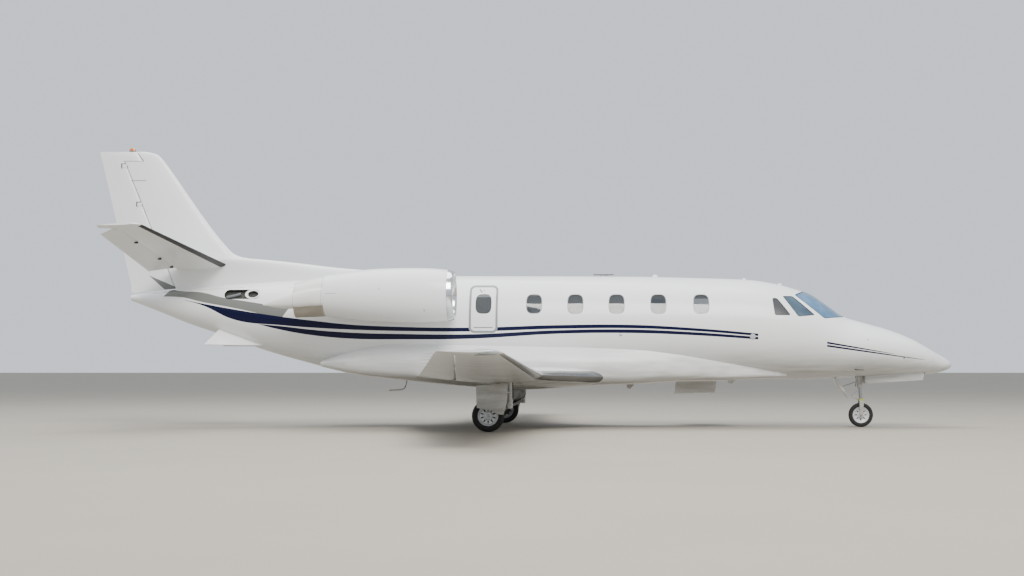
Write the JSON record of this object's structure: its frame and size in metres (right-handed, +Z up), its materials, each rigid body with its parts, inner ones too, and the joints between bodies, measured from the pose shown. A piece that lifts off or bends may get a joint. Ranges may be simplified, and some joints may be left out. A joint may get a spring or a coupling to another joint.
{
  "type": "business jet",
  "caption": "Twin-engined low-wing business jet parked on its gear with the forward airstair open, hollow cabin, T-style cruciform tail and turning wheels, fans and control surfaces.",
  "frame": {"origin": "middle of the outline on the ground under the aircraft", "axes": "+X forward to the nose, +Y to the port wing tip, +Z up"},
  "size_m": [15.96, 17.17, 5.2386],
  "materials": {
    "white_paint": "gloss white paint",
    "glass": "tinted glass",
    "metal": "polished",
    "grey_metal": "satin grey",
    "engine_metal": "dark metal",
    "tyre": "matt rubber",
    "primer": "yellow green primer",
    "carpet": "carpet",
    "leather": "tan leather",
    "panel": "matt dark",
    "beacon": "amber lens"
  },
  "bodies": {
    "airframe": {"nose_section": "white_paint", "fuselage_shell": "white_paint", "tail_section": "white_paint", "belly_fairing": "white_paint", "wing_L": "white_paint", "wing_R": "white_paint", "fin": "white_paint", "tailplane": "white_paint", "strake_L": "white_paint", "strake_R": "white_paint", "nacelle_L": "white_paint", "nacelle_R": "white_paint", "engine_L": "engine_metal", "engine_R": "engine_metal", "reverser_L": "white_paint", "reverser_R": "white_paint", "pylon_L": "white_paint", "pylon_R": "white_paint", "cockpit_glazing": "glass", "window_belt_L": "glass", "window_belt_R": "glass", "exit_hatch": "white_paint", "cabin_floor": "carpet", "instrument_panel": "panel", "pilot_seats": "leather", "cabin_seats": "leather", "nose_strut": "white_paint", "nose_aft_door": "white_paint", "main_leg_L": "white_paint", "main_leg_R": "white_paint"},
    "nose_steering": {"nose_fork": "primer"},
    "nose_wheel": {"nose_rim": "grey_metal", "nose_tyre": "tyre"},
    "main_wheel_L": {"main_rim_L": "grey_metal", "main_tyre_L": "tyre"},
    "main_wheel_R": {"main_rim_R": "grey_metal", "main_tyre_R": "tyre"},
    "fan_spool_L": {"fan_L": "metal"},
    "fan_spool_R": {"fan_R": "metal"},
    "rudder_body": {"rudder": "white_paint", "beacon": "beacon"},
    "elevator_body_L": {"elevator_L": "white_paint"},
    "elevator_body_R": {"elevator_R": "white_paint"},
    "aileron_body_L": {"aileron_L": "white_paint"},
    "aileron_body_R": {"aileron_R": "white_paint"},
    "flap_body_L": {"flap_L": "white_paint"},
    "flap_body_R": {"flap_R": "white_paint"},
    "airstair_body": {"airstair": "white_paint"},
    "nose_door_body_L": {"nose_door_L": "white_paint"},
    "nose_door_body_R": {"nose_door_R": "white_paint"}
  },
  "joints": [
    {"name": "nose_steer", "type": "hinge", "parent": "airframe", "child": "nose_steering", "pos_m": [6.275, 0, 0.74], "axis": [-0.0807, 0, 0.9967], "range_deg": [-60, 60]},
    {"name": "nose_wheel_spin", "type": "hinge", "parent": "nose_steering", "child": "nose_wheel", "pos_m": [6.29, 0, 0.2275], "axis": [0, 1, 0], "continuous": true},
    {"name": "main_wheel_spin_L", "type": "hinge", "parent": "airframe", "child": "main_wheel_L", "pos_m": [-0.53, 2.27, 0.2795], "axis": [0, 1, 0], "continuous": true},
    {"name": "main_wheel_spin_R", "type": "hinge", "parent": "airframe", "child": "main_wheel_R", "pos_m": [-0.53, -2.27, 0.2795], "axis": [0, 1, 0], "continuous": true},
    {"name": "fan_spin_L", "type": "hinge", "parent": "airframe", "child": "fan_spool_L", "pos_m": [-1.84, 1.5, 2.39], "axis": [1, 0, 0], "continuous": true},
    {"name": "fan_spin_R", "type": "hinge", "parent": "airframe", "child": "fan_spool_R", "pos_m": [-1.84, -1.5, 2.39], "axis": [1, 0, 0], "continuous": true},
    {"name": "rudder_turn", "type": "hinge", "parent": "airframe", "child": "rudder_body", "pos_m": [-6.61, 0, 2.6], "axis": [-0.3693, 0, 0.9293], "range_deg": [-25, 25]},
    {"name": "elevator_turn_L", "type": "hinge", "parent": "airframe", "child": "elevator_body_L", "pos_m": [-6.557, 0.62, 3.06895], "axis": [-0.043, 0.9872, 0.1536], "range_deg": [0, 38]},
    {"name": "elevator_turn_R", "type": "hinge", "parent": "airframe", "child": "elevator_body_R", "pos_m": [-6.557, -0.62, 3.06895], "axis": [0.043, 0.9872, -0.1536], "range_deg": [0, 38]},
    {"name": "aileron_turn_L", "type": "hinge", "parent": "airframe", "child": "aileron_body_L", "pos_m": [-0.85109, 5.33, 1.13626], "axis": [0.101, 0.9935, 0.0531], "range_deg": [-20, 20]},
    {"name": "aileron_turn_R", "type": "hinge", "parent": "airframe", "child": "aileron_body_R", "pos_m": [-0.85109, -5.33, 1.13626], "axis": [-0.101, 0.9935, -0.0531], "range_deg": [-20, 20]},
    {"name": "flap_turn_L", "type": "hinge", "parent": "airframe", "child": "flap_body_L", "pos_m": [-1.1388, 2.5, 0.985], "axis": [0.101, 0.9935, 0.0531], "range_deg": [-35, 0]},
    {"name": "flap_turn_R", "type": "hinge", "parent": "airframe", "child": "flap_body_R", "pos_m": [-1.1388, -2.5, 0.985], "axis": [-0.101, 0.9935, -0.0531], "range_deg": [-35, 0]},
    {"name": "airstair_hinge", "type": "hinge", "parent": "airframe", "child": "airstair_body", "pos_m": [3.26, 0.801, 1.368], "axis": [1, 0, 0], "range_deg": [0, 138]},
    {"name": "nose_door_hinge_L", "type": "hinge", "parent": "airframe", "child": "nose_door_body_L", "pos_m": [6.34, 0.1817, 0.981], "axis": [0.9988, 0, 0.0481], "range_deg": [-90, 0]},
    {"name": "nose_door_hinge_R", "type": "hinge", "parent": "airframe", "child": "nose_door_body_R", "pos_m": [6.34, -0.1817, 0.981], "axis": [0.9988, 0, 0.0481], "range_deg": [0, 90]}
  ],
  "couplings": [
    {"joint": "elevator_turn_R", "follows": "elevator_turn_L", "ratio": 1},
    {"joint": "aileron_turn_R", "follows": "aileron_turn_L", "ratio": -1},
    {"joint": "flap_turn_R", "follows": "flap_turn_L", "ratio": 1},
    {"joint": "nose_door_hinge_R", "follows": "nose_door_hinge_L", "ratio": -1}
  ]
}
